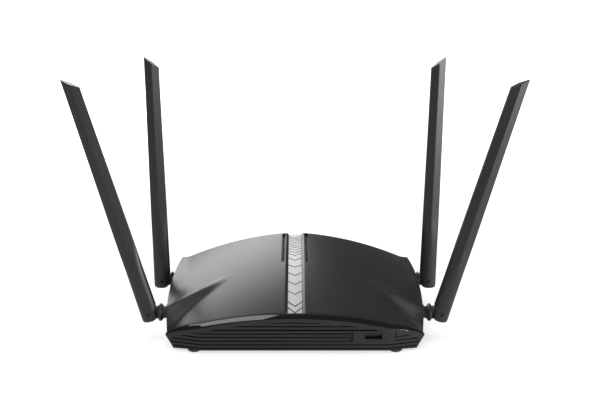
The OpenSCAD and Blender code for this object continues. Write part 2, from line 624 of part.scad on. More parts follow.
// blade sections: an oval at the foot that turns into a flat six-sided bar
function blade_half_w(z) = lerp(blade_w, blade_tip_w, clip(z/blade_l))/2;
function section(u, z) =
    let (m = ease((z - barrel_len*0.55)/(barrel_len*0.6)), oval = blade_t/2*sqrt(max(0, 1 - u*u)),
        flat = lerp(ridge_t/2, edge_t/2, abs(u)))
    max(lerp(oval, flat, m), lerp(0.4, edge_t/2, m));
module blade_half(lean, face) {
    half = face ? 1 : -1;
    levels = [-blade_round - bite, 0, barrel_len*0.55, barrel_len*0.7, barrel_len*0.85, barrel_len, barrel_len*1.16,
        blade_l + 8];
    cuts = [-1, -0.94, -0.8, -0.6, -0.3, 0, 0.3, 0.6, 0.8, 0.94, 1];
    rotate([0, lean, 0]) mirror([0, face ? 0 : 1, 0]) difference() {
        intersection() {
            loft([for (z = levels) let (w = blade_half_w(z))
                concat([for (u = cuts) [u*w, -section(u, z), z]], [[w, -seat/2, z], [-w, -seat/2, z]])]);
            along_y([-blade_t, 1]) union() {
                circle(blade_round);
                polygon([[-blade_round, 0], [blade_round, 0], [blade_w/2, blade_l + tip_rise],
                    [blade_tip_w/2 - 0.3, blade_l + tip_rise], [-blade_tip_w/2 - 1, blade_l - tip_rise - 1]]);
            }
        }
        box([-aerial_w/2 - cavity_gap, aerial_w/2 + cavity_gap], [-aerial_t/2 - cavity_gap, bite],
            [aerial_z - cavity_gap, aerial_z + aerial_l + cavity_gap]);
        box([-blade_w, tongue_r + slack + 0.3], [-tongue_t/2 - slack, bite], [-blade_w, tongue_r + slack + 0.3]);
        bar_y([-blade_t, bite], pin_r + fit_gap);
        box([-0.9, 0.9], [-1.2, bite], [tongue_r, aerial_z]);
    }
}
module blade(i, face) color([0.11, 0.11, 0.12]) translate([hinge_x, 0, 0]) at_hub(i)
    blade_half(i == 0 ? front_lean : 0, face);
module aerial(i) color([0.1, 0.35, 0.2]) translate([hinge_x, 0, 0]) at_hub(i)
    rotate([0, i == 0 ? front_lean : 0, 0]) {
        box([-aerial_w/2, aerial_w/2], [-aerial_t/2, aerial_t/2], [aerial_z, aerial_z + aerial_l]);
        post([tongue_r + slack + 0.6, aerial_z + 0.5], 0.6);
    }

// leads from the board to the swivels: up from a plug, then level into the shaft's bore
plug_x = front_hw - 38;
plug_h = 1.6;
function lead_from(i) = [plug_x, hub_y[i] + (i == 0 ? 14 : -14), board_top + plug_h];
function lead_to(i) = [barrel_x[i] + 4, hub_y[i], hinge_z];
function bezier(a, b, c, d, t) = pow(1 - t, 3)*a + 3*pow(1 - t, 2)*t*b + 3*(1 - t)*t*t*c + pow(t, 3)*d;
function lead_point(i, t) = let (a = lead_from(i), d = lead_to(i))
    t < 0.8 ? bezier(a, a + [0, 0, 9], d - [26, 0, 0], d - [9, 0, 0], t/0.8)
            : lerp(d - [9, 0, 0], d, (t - 0.8)/0.2);
module lead(i) {
    n = 20;
    loft([for (k = [0:n]) let (p = lead_point(i, k/n),
            d = lead_point(i, min(1, k/n + 0.01)) - lead_point(i, max(0, k/n - 0.01)),
            f = k == 0 ? [0, 0, 1] : k == n ? [1, 0, 0] : d/norm(d),
            s = cross(f, [0, 1, 0]), r = s/norm(s), q = cross(f, r))
        [for (a = [0:7]) p + cable_r*(cos(45*a)*r - sin(45*a)*q)]]);
}
module antenna_cables() color([0.05, 0.05, 0.05]) both_sides() for (i = [0, 1]) lead(i);
module cable_plugs() color([0.8, 0.65, 0.2]) both_sides() for (i = [0, 1]) let (p = lead_from(i))
    translate([p[0], p[1], 0]) post([board_top + seat, board_top + plug_h - seat], 1.4);

top_cover();
bottom_tray();
front_grille();
gloss_band();
chevron_strip();
light_guide();
vent_grids();
rear_panel();
rubber_feet();
case_screws();
main_board();
board_screws();
heat_sink();
shield_cans();
chips();
capacitors();
status_leds();
usb_port();
lan_sockets();
internet_socket();
power_inlet();
power_switch();
pair_switch();
reset_switch();
antenna_sockets();
antenna_cables();
cable_plugs();
power_button();
pair_button();
reset_button();
mirror([1, 0, 0]) swivel(0);  // swivel_front_left
mirror([1, 0, 0]) snap_clip(0);  // clip_front_left
mirror([1, 0, 0]) hinge_pin(0);  // pin_front_left
mirror([1, 0, 0]) blade(0, true);  // blade_face_front_left
mirror([1, 0, 0]) blade(0, false);  // blade_back_front_left
mirror([1, 0, 0]) aerial(0);  // aerial_front_left
swivel(0);  // swivel_front_right
snap_clip(0);  // clip_front_right
hinge_pin(0);  // pin_front_right
blade(0, true);  // blade_face_front_right
blade(0, false);  // blade_back_front_right
aerial(0);  // aerial_front_right
mirror([1, 0, 0]) swivel(1);  // swivel_rear_left
mirror([1, 0, 0]) snap_clip(1);  // clip_rear_left
mirror([1, 0, 0]) hinge_pin(1);  // pin_rear_left
mirror([1, 0, 0]) blade(1, true);  // blade_face_rear_left
mirror([1, 0, 0]) blade(1, false);  // blade_back_rear_left
mirror([1, 0, 0]) aerial(1);  // aerial_rear_left
swivel(1);  // swivel_rear_right
snap_clip(1);  // clip_rear_right
hinge_pin(1);  // pin_rear_right
blade(1, true);  // blade_face_rear_right
blade(1, false);  // blade_back_rear_right
aerial(1);  // aerial_rear_right
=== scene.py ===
# %% [markdown]
# # A desk wireless router with four hinged antennas
#
# The CAD model is loaded as a fixed frame, and every piece made here is laid over it: the arched
# satin cover, the gloss band and louvres of the front, the silver chevron strip, the swivels and
# blades of the antennas, and the finishes of everything inside and behind. Sizes are written in
# millimetres, as on a drawing, and are turned into metres where a mesh is placed.

import json
import math

import bpy
from mathutils import Matrix, Vector

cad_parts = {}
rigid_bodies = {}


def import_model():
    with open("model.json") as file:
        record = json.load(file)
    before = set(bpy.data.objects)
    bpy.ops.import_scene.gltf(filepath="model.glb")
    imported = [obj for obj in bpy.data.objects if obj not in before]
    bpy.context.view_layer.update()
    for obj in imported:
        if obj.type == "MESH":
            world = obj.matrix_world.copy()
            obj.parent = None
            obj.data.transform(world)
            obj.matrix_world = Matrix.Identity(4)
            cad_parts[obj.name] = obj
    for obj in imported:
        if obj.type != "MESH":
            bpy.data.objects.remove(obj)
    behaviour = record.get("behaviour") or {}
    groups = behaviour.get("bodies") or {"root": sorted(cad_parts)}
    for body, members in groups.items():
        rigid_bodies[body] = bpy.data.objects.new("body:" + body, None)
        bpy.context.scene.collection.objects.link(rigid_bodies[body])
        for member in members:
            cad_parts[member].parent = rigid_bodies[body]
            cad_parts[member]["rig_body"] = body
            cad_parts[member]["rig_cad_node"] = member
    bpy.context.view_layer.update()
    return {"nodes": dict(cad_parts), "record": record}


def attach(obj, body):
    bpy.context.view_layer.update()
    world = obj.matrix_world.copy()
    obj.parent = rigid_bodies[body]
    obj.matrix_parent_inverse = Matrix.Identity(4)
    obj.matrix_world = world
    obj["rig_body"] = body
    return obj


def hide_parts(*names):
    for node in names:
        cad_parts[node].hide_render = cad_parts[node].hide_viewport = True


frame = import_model()
nodes = frame["nodes"]
MM = 0.001

# %% [markdown]
# ## Camera
#
# The router is seen from straight ahead and a little above, from about three quarters of a metre,
# so that the near antennas are only slightly larger than the far ones.

# %% Camera
bpy.ops.object.camera_add(location=(0, -0.69187, 0.31916), rotation=(math.radians(72.698), 0, 0))
camera = bpy.context.object
camera.name = "studio_camera"
camera.data.lens = 50
camera.data.sensor_width = 36
bpy.context.scene.camera = camera
bpy.context.scene.view_settings.view_transform = "Standard"
print("camera at", tuple(round(v, 3) for v in camera.location))

# %% [markdown]
# ## Shader arithmetic
#
# A finish is easier to read as a formula than as a web of nodes. `Wire` holds one output socket,
# and its operators add the Math nodes. `Finish` holds one material: `node` adds any node, with its
# settings first and then what goes into its sockets, and `surface` joins up the Principled shader.
# Only what truly changes over a surface is linked; the other numbers are set on the shader itself.

# %% Wires and finishes
class Wire:
    """An output socket that can be added, subtracted and multiplied."""

    def __init__(self, finish, socket):
        self.finish, self.socket = finish, socket

    def math(self, operation, first, second):
        return self.finish.node("ShaderNodeMath", {"operation": operation}, {0: first, 1: second})

    def __add__(self, other):
        return self.math("ADD", self, other)

    def __mul__(self, other):
        return self.math("MULTIPLY", self, other)

    def __sub__(self, other):
        return self.math("SUBTRACT", self, other)

    def __rsub__(self, other):
        return self.math("SUBTRACT", other, self)

    __radd__, __rmul__ = __add__, __mul__


class Finish:
    """One material or world and the nodes in it."""

    def __init__(self, name, owner=None):
        self.owner = owner or bpy.data.materials.new(name)
        self.owner.use_nodes = True
        self.tree = self.owner.node_tree
        self.tree.nodes.clear()

    def node(self, kind, settings=None, sockets=None, out=0):
        """Adds a node with its settings, and a value or a wire in each socket; gives one output."""
        made = self.tree.nodes.new(kind)
        for key, value in (settings or {}).items():
            setattr(made, key, value)
        for key, value in (sockets or {}).items():
            if isinstance(value, Wire):
                self.tree.links.new(value.socket, made.inputs[key])
            else:
                made.inputs[key].default_value = value
        return Wire(self, made.outputs[out])

    def noise(self, scale, detail=2.0, stretch=(1, 1, 1)):
        """Noise of about -0.5 to 0.5 on Object coordinates; scale is in cells to a metre."""
        place = self.node("ShaderNodeTexCoord", out="Object")
        place = self.node("ShaderNodeMapping", sockets={"Vector": place, "Scale": stretch})
        noise = {"Vector": place, "Scale": scale, "Detail": detail}
        return self.node("ShaderNodeTexNoise", sockets=noise) - 0.5

    def mix(self, mask, low, high):
        """The low colour where the mask is 0, the high one where it is 1."""
        return self.node("ShaderNodeMix", {"data_type": "RGBA"}, {0: mask, 6: low, 7: high}, out=2)

    def relief(self, height, depth):
        """A bump of that depth in metres."""
        bump = {"Strength": 1.0, "Distance": depth, "Height": height}
        return self.node("ShaderNodeBump", sockets=bump)

    def surface(self, **sockets):
        """A Principled shader with these sockets, such as base_color; gives the material."""
        names = {key.replace("_", " ").title().replace("Ior", "IOR"): value
                 for key, value in sockets.items()}
        shader = self.node("ShaderNodeBsdfPrincipled", sockets=names)
        self.node_output(shader)
        return self.owner

    def node_output(self, shader):
        """Joins a shader to the output of the material or world."""
        in_world = isinstance(self.owner, bpy.types.World)
        kind = "ShaderNodeOutputWorld" if in_world else "ShaderNodeOutputMaterial"
        made = self.tree.nodes.new(kind)
        self.tree.links.new(shader.socket, made.inputs["Surface"])


def shade(colour, factor):
    """The colour made darker or lighter by a factor, and opaque."""
    return (colour[0]*factor, colour[1]*factor, colour[2]*factor, 1)


print("shader helpers ready")

# %% [markdown]
# ## Moulded plastics
#
# The cover, tray and antennas are charcoal plastic with a fine satin texture: the mould is spark
# eroded, so the skin has a grain of about a fifth of a millimetre, and the gloss varies a little
# from place to place where the plastic flowed. One function makes them all, from a colour, a gloss
# and a grain. The grain's tops are a little paler and rougher than its valleys, which keeps the
# plastic from looking like paint.

# %% Moulded plastic
FLOW = 14                                # cells to a metre of the slow drift in tone and gloss


def moulded(name, colour, rough, grain=4200, depth=0.00001, drift=0.05, **more):
    """A moulded skin: its grain in cells to a metre, their depth in metres, the gloss's drift."""
    finish = Finish(name)
    skin = finish.noise(grain, detail=3)
    flow = finish.noise(FLOW, detail=2)
    tone = finish.mix(0.5 + flow*0.9 + skin*0.5, shade(colour, 0.86), shade(colour, 1.14))
    return finish.surface(base_color=tone, roughness=rough + flow*drift + skin*0.06,
                          normal=finish.relief(skin, depth), **more)


plastics = {
    "cover_plastic": moulded("satin_cover", (0.021, 0.021, 0.022), 0.36),
    "tray_plastic": moulded("satin_tray", (0.02, 0.02, 0.021), 0.42),
    "antenna_plastic": moulded("satin_antenna", (0.024, 0.024, 0.025), 0.38),
    "button_plastic": moulded("satin_button", (0.05, 0.05, 0.055), 0.45),
    "gloss_black": moulded("piano_black", (0.004, 0.004, 0.0045), 0.05, grain=700,
                           depth=0.0000004, drift=0.01, ior=1.6, coat_weight=0.6,
                           coat_roughness=0.03),
    "rubber": moulded("soft_rubber", (0.055, 0.055, 0.056), 0.62, grain=2600, depth=0.00002),
    "chip_black": moulded("moulded_epoxy", (0.02, 0.02, 0.02), 0.55, grain=3000, depth=0.000015),
    "cable_sheath": moulded("coaxial_sheath", (0.02, 0.02, 0.02), 0.4),
    "socket_yellow": moulded("socket_yellow", (0.72, 0.5, 0.03), 0.32),
    "socket_blue": moulded("socket_blue", (0.04, 0.15, 0.5), 0.32),
    "led_lens": moulded("led_resin", (0.85, 0.87, 0.84), 0.2, emission_color=(1, 1, 1, 1),
                        emission_strength=0.15),
    "clear_guide": moulded("clear_guide", (0.85, 0.89, 0.92), 0.12, transmission_weight=0.7,
                           ior=1.49),
    "board_green": moulded("solder_mask", (0.02, 0.13, 0.06), 0.3, grain=900, depth=0.00002),
}
print(len(plastics), "plastics")

# %% [markdown]
# ## Metals
#
# Tinned cans, plated screws and the extruded heat sink are metals. Rolled and drawn metal has fine
# lines along one direction, which a stretched noise gives. The chevron strip is a plastic with a
# silver flake in it, so the same function makes it with a low Metallic value.

# %% Metals
DRAWN, CLOUD = 900, 60                   # cells to a metre of the drawn lines and the clouding


def metal(name, colour, rough, lines=(1, 1, 1), metallic=1.0, **more):
    """A metal skin; lines stretches its fine noise along X, Y and Z."""
    finish = Finish(name)
    drawn = finish.noise(DRAWN, detail=3, stretch=lines)
    cloud = finish.noise(CLOUD)
    tone = finish.mix(0.5 + drawn*0.8 + cloud*0.4, shade(colour, 0.88), shade(colour, 1.06))
    return finish.surface(base_color=tone, metallic=metallic,
                          roughness=rough + drawn*0.14 + cloud*0.06,
                          normal=finish.relief(drawn, 0.000004), **more)


metals = {
    "silver_strip": metal("silver_strip", (0.78, 0.78, 0.785), 0.42, metallic=0.2),
    "screw_steel": metal("plated_steel", (0.5, 0.5, 0.52), 0.3),
    "sink_aluminium": metal("extruded_aluminium", (0.6, 0.61, 0.63), 0.38, lines=(3, 0.1, 1)),
    "can_steel": metal("tinned_steel", (0.6, 0.6, 0.61), 0.28, lines=(0.2, 3, 1)),
    "capacitor_can": metal("capacitor_sleeve", (0.3, 0.31, 0.38), 0.35),
    "plug_brass": metal("flashed_brass", (0.75, 0.58, 0.28), 0.25),
}
# a darker grey for the slopes of the strip's grooves: painted shade in the grooves, together with
# the grey of the light guide seen through them
groove_shade_and_guide_grey = metal("groove_shade_and_guide_grey", (0.16, 0.16, 0.165), 0.5, metallic=0.2)
black_steel = metal("black_oxide", (0.045, 0.045, 0.048), 0.42, metallic=0.6)
finishes = {**plastics, **metals}
print(len(finishes), "finishes")

# %% [markdown]
# ## Stage and light
#
# The router stands on a plain white ground. To the camera the ground also glows, more so far from
# the router, so that it shows white and still keeps the soft shadow under the feet. Reflections
# and clear plastic see only a part of that glow. The world is white to the camera and a weak fill
# light to everything else.
#
# Five softboxes light it. A large one behind on the left runs a broad highlight over the left half
# of the cover, and one nearly overhead lifts its top. A long strip in front on the left puts the
# bright bar on the gloss band. A low, narrow, strong one at the right picks out the right-hand
# facets of the blades, and a small one high on the right shows the right end of the cover.

# %% Ground and world
GROUND_SIZE, GROUND_Z = 24, -0.0001
NEAR_GLOW, FAR_GLOW = 0.62, 0.6          # the glow at the router, and what distance adds to it
NEAR, FAR = 0.35, 0.9                    # the distances between which it is added
GLOSSY_GLOW, GLASS_GLOW = 0.1, 0.5       # the glow in reflections and through clear plastic
WORLD_FILL, WORLD_GLOSS = 0.18, 0.12     # the world as a lamp, and in reflections


def ray_kinds(finish):
    """Three wires, each 1 for rays of its kind: from the camera, reflected, and through glass."""
    return [finish.node("ShaderNodeLightPath", out=name) for name in
            ("Is Camera Ray", "Is Glossy Ray", "Is Transmission Ray")]


bpy.ops.mesh.primitive_plane_add(size=GROUND_SIZE, location=(0, 0, GROUND_Z))
ground = bpy.context.object
ground.name = "ground"
finish = Finish("white_ground")
camera_ray, glossy_ray, glass_ray = ray_kinds(finish)
plain = finish.node("ShaderNodeBsdfDiffuse", sockets={"Color": (0.8, 0.8, 0.8, 1)})
reach = finish.node("ShaderNodeVectorMath", {"operation": "LENGTH"},
                    {0: finish.node("ShaderNodeTexCoord", out="Object")}, out="Value")
added = finish.node("ShaderNodeMapRange", sockets={0: reach, 1: NEAR, 2: FAR, 3: 0.0, 4: FAR_GLOW})
share = NEAR_GLOW + added
strength = camera_ray*share + glossy_ray*GLOSSY_GLOW + glass_ray*GLASS_GLOW
glow = finish.node("ShaderNodeEmission", sockets={"Strength": strength})
finish.node_output(finish.node("ShaderNodeAddShader", sockets={0: plain, 1: glow}))
ground.data.materials.append(finish.owner)

world = bpy.data.worlds.new("studio")
bpy.context.scene.world = world
finish = Finish("studio", world)
camera_ray, glossy_ray = ray_kinds(finish)[:2]
level = WORLD_FILL*(1 - camera_ray)*(1 - glossy_ray) + camera_ray + glossy_ray*WORLD_GLOSS
sky = finish.node("ShaderNodeBackground", sockets={"Color": (1, 1, 1, 1), "Strength": level})
finish.node_output(sky)
print("ground and world ready")

# %% Softboxes
def softbox(name, azimuth, elevation, distance, size, radiance, target=(0, 0, 0.03)):
    """A soft lamp that faces the target; azimuth runs from the front (-Y) to the right (+X)."""
    a, e = math.radians(azimuth), math.radians(elevation)
    aim = Vector((math.sin(a)*math.cos(e), -math.cos(a)*math.cos(e), math.sin(e)))
    place = Vector(target) + aim*distance
    turn = aim.to_track_quat("Z", "Y").to_euler()
    bpy.ops.object.light_add(type="AREA", location=place, rotation=turn)
    lamp = bpy.context.object
    lamp.name = name
    lamp.data.shape = "RECTANGLE"
    lamp.data.size, lamp.data.size_y = size
    lamp.data.energy = radiance*math.pi*size[0]*size[1]
    lamp.visible_camera = False


softbox("rear_left_box", -158, 26, 1.5, (1.1, 0.9), 3.8)
softbox("top_box", -60, 80, 1.5, (1.0, 1.0), 1.6)
softbox("band_strip", -29, 27, 1.3, (1.0, 0.3), 2.6)
softbox("right_box", 61, 5, 1.2, (0.7, 0.22), 17.0)
softbox("high_right_box", 96, 50, 1.4, (0.6, 0.5), 2.0)

# %% [markdown]
# ## Modelling helpers
#
# Everything starts as a primitive. `shaped_grid` takes Blender's grid and moves each of its
# crossings to a place that a formula gives, which suits the long swept forms of this housing: the
# crossings follow the creases, so no crease is smeared over a face. Where the last row comes back
# to the first, the doubles are merged and the ends are filled, and the sheet becomes a solid.

# %% Helpers
def only(piece):
    """Leaves one object selected and active."""
    if bpy.context.object and bpy.context.object.mode != "OBJECT":
        bpy.ops.object.mode_set(mode="OBJECT")
    bpy.ops.object.select_all(action="DESELECT")
    piece.select_set(True)
    bpy.context.view_layer.objects.active = piece
    return piece


def edit(piece, kind="FACE", pick=None):
    """Enters edit mode with the vertices, edges or faces selected for which pick says yes."""
    only(piece)
    bpy.ops.object.mode_set(mode="EDIT")
    bpy.ops.mesh.select_mode(type=kind)
    bpy.ops.mesh.select_all(action="DESELECT")
    bpy.ops.object.mode_set(mode="OBJECT")
    data = piece.data
    for item in {"VERT": data.vertices, "EDGE": data.edges, "FACE": data.polygons}[kind]:
        item.select = pick is None or bool(pick(item))
    bpy.ops.object.mode_set(mode="EDIT")


def done():
    """Leaves edit mode."""
    bpy.ops.object.mode_set(mode="OBJECT")


def ends(piece, edge):
    """The two ends of an edge, in millimetres."""
    return [piece.data.vertices[k].co/MM for k in edge.vertices]


def modify(piece, kind, **settings):
    """Adds a modifier and applies it."""
    only(piece)
    made = piece.modifiers.new(kind.lower(), kind)
    for key, value in settings.items():
        setattr(made, key, value)
    bpy.ops.object.modifier_apply(modifier=made.name)


def smooth(piece, angle):
    """Shades smooth, but for the edges that are sharper than the angle."""
    only(piece)
    bpy.ops.object.shade_smooth_by_angle(angle=math.radians(angle))
    return piece


def outwards(piece):
    """Merges doubled vertices and turns every face outwards."""
    edit(piece)
    bpy.ops.mesh.remove_doubles(threshold=0.01*MM)
    bpy.ops.mesh.normals_make_consistent(inside=False)
    done()


def shaped_grid(name, columns, rows, place, solid=False):
    """A grid whose crossing (i, j) is moved to place(i, j), in millimetres; solid closes it."""
    bpy.ops.object.select_all(action="DESELECT")
    bpy.ops.mesh.primitive_grid_add(x_subdivisions=columns, y_subdivisions=rows, size=2)
    piece = bpy.context.object
    piece.name = piece.data.name = name
    for v in piece.data.vertices:
        i, j = round((v.co.x + 1)*columns/2), round((v.co.y + 1)*rows/2)
        v.co = Vector(place(i, j))*MM
    if solid:
        edit(piece)
        bpy.ops.mesh.remove_doubles(threshold=0.002*MM)
        bpy.ops.mesh.select_all(action="DESELECT")
        bpy.ops.mesh.select_mode(type="EDGE")
        bpy.ops.mesh.select_non_manifold(extend=False)
        bpy.ops.mesh.fill_holes(sides=0)
        bpy.ops.mesh.select_all(action="SELECT")
        bpy.ops.mesh.normals_make_consistent(inside=False)
        done()
    return piece


def lathe(name, profile, steps=48):
    """A solid of revolution about X: profile is a list of (x, radius)."""
    def place(i, j):
        x, r = profile[i]
        a = 2*math.pi*j/steps
        return x, r*math.cos(a), r*math.sin(a)
    return shaped_grid(name, len(profile) - 1, steps, place, solid=True)


def cut(piece, cutter):
    """Takes the cutter out of the piece, and removes the cutter."""
    modify(piece, "BOOLEAN", operation="DIFFERENCE", object=cutter, solver="MANIFOLD")
    bpy.data.objects.remove(cutter)


def block(low, high, name="block"):
    """A cuboid between two corners, in millimetres."""
    bpy.ops.object.select_all(action="DESELECT")
    bpy.ops.mesh.primitive_cube_add(size=1)
    piece = bpy.context.object
    piece.name = name
    low, high = Vector(low), Vector(high)
    for v in piece.data.vertices:
        v.co = Vector([(low[k] + high[k])/2 + v.co[k]*(high[k] - low[k]) for k in range(3)])*MM
    return piece


def rod(centre, radius, depth, axis, name="rod", sides=48):
    """A cylinder along an axis, by its centre, in millimetres."""
    turn = {"X": (0, math.pi/2, 0), "Y": (math.pi/2, 0, 0), "Z": (0, 0, 0)}[axis]
    bpy.ops.object.select_all(action="DESELECT")
    bpy.ops.mesh.primitive_cylinder_add(vertices=sides, radius=radius*MM, depth=depth*MM,
                                        rotation=turn, location=Vector(centre)*MM)
    piece = bpy.context.object
    piece.name = name
    bpy.ops.object.transform_apply(location=True, rotation=True, scale=True)
    return piece


def fit(piece, body, slot, *stands_for):
    """Gives a finished piece its finish and its body, and hides the CAD nodes that it stands for.
    """
    piece.data.materials.clear()
    piece.data.materials.append(finishes[slot])
    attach(piece, body)
    if stands_for:
        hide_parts(*stands_for)
    print(piece.name, len(piece.data.polygons), "faces on", body)
    return piece


print("modelling helpers ready")

# %% [markdown]
# ## The shape of the housing
#
# The top is one arch that is tall at the rear and low at the front, with a fairing over each front
# antenna socket and a slightly raised shelf in each rear corner. It is written once, as a height
# over the plan, so that the cover, the gloss band and the strip in the channel all agree.

# %% Housing sizes
HALF, HALF_FRONT = 113.5, 107.5          # half widths of the cover, at its widest and in front
Y_FRONT, Y_REAR = -76.0, 74.0            # front and rear of the cover, in the middle
LENGTH = Y_REAR - Y_FRONT
EDGE_BACK, REAR_BOW = 1.6, 1.2           # the front edge's setback, the rear edge's bow
FRONT_H, REAR_H = 34.6, 53.4             # heights of the crown at its two ends
WAIST = 13.4                             # height of the parting line between cover and tray
SWEEP_X, SWEEP = 78.0, 7.6               # where the front corners start to sweep back, how far
CORNER_X, CORNER_DROP = 90, 1.5          # where the front corners fall below the arch, how far
ROLL_X, ROLL_DROP = 86, 2.7              # the same for the cover's front edge alone
FAIRING_X, FAIRING_H = 57, 9.8           # the inner end and the height of a socket's fairing
SHELF_W = 9.5                            # width of the shelf in a rear corner
HUB_Y, HUB_Z, HINGE_X = (-49.5, 24.3), 24.0, 124.7
print("cover", 2*HALF, "x", LENGTH, "mm")

# %% Housing surface
def clip(t):
    return min(1.0, max(0.0, t))


def ease(t):
    """0 to 1 with a soft start and a soft end."""
    return clip(t)**2*(3 - 2*clip(t))


def lerp(a, b, t):
    return a + (b - a)*t


def sweep(x):
    """How far the front stands back at x."""
    return SWEEP*clip((abs(x) - SWEEP_X)/(HALF_FRONT - SWEEP_X))


def crown(y):
    """The height of the middle line."""
    t = clip((y - Y_FRONT)/LENGTH)
    return lerp(FRONT_H, REAR_H, t*(2 - t))


def arch(x, t):
    """The height across the cover at a share t of its length: a parabola below the crown."""
    a = abs(x)
    drop = lerp(0.005, 0.05, t)*a + lerp(0.00136, 0.0018, t)*a*a
    corner = CORNER_DROP*clip((a - CORNER_X)/(HALF_FRONT - CORNER_X))**2*(1 - ease(5*t))
    return lerp(FRONT_H, REAR_H, t*(2 - t)) - drop - corner


def edge_drop(x):
    """How far the cover's front edge rolls down towards each corner, beyond the arch."""
    return ROLL_DROP*clip((abs(x) - ROLL_X)/(HALF_FRONT - ROLL_X))**1.4


def fairing(x, y):
    """A swelling that widens and rises from the cover's middle out to a front antenna socket."""
    start = Vector((FAIRING_X, HUB_Y[0] + 43))
    way = Vector((HALF_FRONT + 2 - FAIRING_X, -44))
    p = Vector((abs(x), y)) - start
    t = p.dot(way)/way.length_squared
    q = clip((p - way*t).length/(2 + 15*clip(t)))
    return FAIRING_H*clip(t)**1.35*(1 - q*q)**2


def shelf(x, y):
    """A rise towards the side in each rear corner, which fades out to the front."""
    d = abs(x) - (HALF - SHELF_W) + 8*(Y_REAR - y)/LENGTH
    rise = 0 if d < 0 else d*d/6 if d < 3 else d - 1.5
    return 0.36*rise*ease((y - Y_FRONT - 45)/45)


def top_z(x, y):
    """The height of the cover's outside."""
    t = clip((y - Y_FRONT - sweep(x))/(LENGTH - sweep(x)))
    return arch(x, t) - edge_drop(x)*(1 - ease(6*t)) + fairing(x, y) + shelf(x, y)


def half_w(t):
    """The half width at a share t of the length: it swells at first and tapers at the rear."""
    swell = (HALF - HALF_FRONT)*math.sin(math.pi/2*clip(t/0.45))
    return HALF_FRONT + swell - 1.6*clip((t - 0.65)/0.35)**2


def front_y(x):
    return Y_FRONT + EDGE_BACK + sweep(x)


def rear_y(x):
    return Y_REAR - REAR_BOW*(x/HALF)**2


print("height at the centre of the rear edge", top_z(0, Y_REAR))

# %% [markdown]
# ## The cover
#
# The real cover is one thin moulding with a channel down the middle, a long slot on each side of it
# and crisp edges with a small radius. The grid's columns are set on the channel's edges and the
# slots' sides, and its rows on the slots' ends, so the slots are made by deleting faces. The rim is
# pulled down to the parting line, the crisp edges get a bevel, Solidify gives the wall, and the
# opening for the rear panel and the four socket recesses are cut out with Booleans.

# %% Cover sheet
CHANNEL = (6.3, 8.3)                     # foot and lip of each channel wall
DEPTHS = (3.4, 3.4, 3.4, 1.3)            # of the channel's columns below the crown
VENT_X, VENT_Y = (9.2, 12.6), (5.5, 71.5)
columns = [0.0, 3.2, CHANNEL[0], CHANNEL[0] + 0.02, CHANNEL[1], *VENT_X]
fixed, fan, edge_fan = len(columns) - 1, 20, 12    # columns by the channel, across, and at the edge
ROWS = 44
vent_ends = [(y - Y_FRONT - EDGE_BACK)/(LENGTH - EDGE_BACK) for y in VENT_Y]
rows = sorted({*[k/ROWS for k in range(ROWS + 1)], *vent_ends})
half_count = fixed + fan + edge_fan


def column_x(i, t):
    """Where column i, counted from the middle, stands at a share t of the length."""
    a = abs(i)
    if a <= fixed:
        x = columns[a]
    elif a <= fixed + fan:
        x = lerp(columns[fixed], SWEEP_X*half_w(t)/HALF_FRONT, (a - fixed)/fan)
    else:
        x = lerp(SWEEP_X*half_w(t)/HALF_FRONT, half_w(t), (a - fixed - fan)/edge_fan)
    return math.copysign(x, i)


def cover_point(i, j):
    t, i = rows[j], i - half_count
    x = column_x(i, t)
    y = lerp(front_y(x*HALF_FRONT/half_w(t)), rear_y(x), t)
    z = crown(y) - DEPTHS[abs(i)] if abs(i) < len(DEPTHS) else top_z(x, y)
    return x, y, z


cover = shaped_grid("router_cover", 2*half_count, len(rows) - 1, cover_point)
edit(cover, "FACE", lambda f: VENT_X[0] < abs(f.center.x/MM) < VENT_X[1]
     and VENT_Y[0] - 0.3 < f.center.y/MM < VENT_Y[1] + 0.3)
bpy.ops.mesh.delete(type="FACE")
done()
print("slots cut,", len(cover.data.polygons), "faces left")

# %% Cover rim and wall
END_GAP, SIDE_GAP = 0.05, 0.35           # how far a rim vertex may stand off the rim's formula
COVER_WALL, CRISP_R = 2.2, 0.5


def side_share(y):
    """The share of the length of the cover's side at y."""
    return clip((y - front_y(HALF))/(rear_y(HALF) - front_y(HALF)))


def on_rim(edge):
    """True for the edges of the sheet's outline, and not for those of the slots."""
    a, b = ends(cover, edge)
    middle = (a + b)/2
    if abs(middle.x) < 20 and 0 < middle.y < VENT_Y[1] + 0.5:
        return False
    front = all(abs(p.y - front_y(p.x)) < END_GAP for p in (a, b))
    rear = all(abs(p.y - rear_y(p.x)) < END_GAP for p in (a, b))
    side = all(abs(abs(p.x) - half_w(side_share(p.y))) < SIDE_GAP for p in (a, b))
    return front or rear or (side and abs(a.x - b.x) < 2)


def crisp(edge):
    """True for the channel's lips and the upper rim, apart from the rim's front."""
    a, b = ends(cover, edge)
    if min(abs(a.z - WAIST), abs(b.z - WAIST)) <= 0.1:
        return False
    middle = (a + b)/2
    lip = all(abs(abs(p.x) - CHANNEL[1]) < 0.01 for p in (a, b))
    return lip or (on_rim(edge) and middle.y > front_y(middle.x) + 0.2)


edit(cover, "EDGE", on_rim)
bpy.ops.mesh.extrude_region_move()
bpy.ops.transform.resize(value=(1, 1, 0), center_override=(0, 0, WAIST*MM))
bpy.ops.mesh.select_all(action="SELECT")
bpy.ops.mesh.normals_make_consistent(inside=False)
done()
edit(cover, "EDGE", crisp)
bpy.ops.mesh.bevel(offset=CRISP_R*MM, segments=3, affect="EDGES", clamp_overlap=True)
done()
modify(cover, "SOLIDIFY", thickness=COVER_WALL*MM, offset=-1, use_even_offset=False)
print("cover rim", len(cover.data.polygons), "faces")

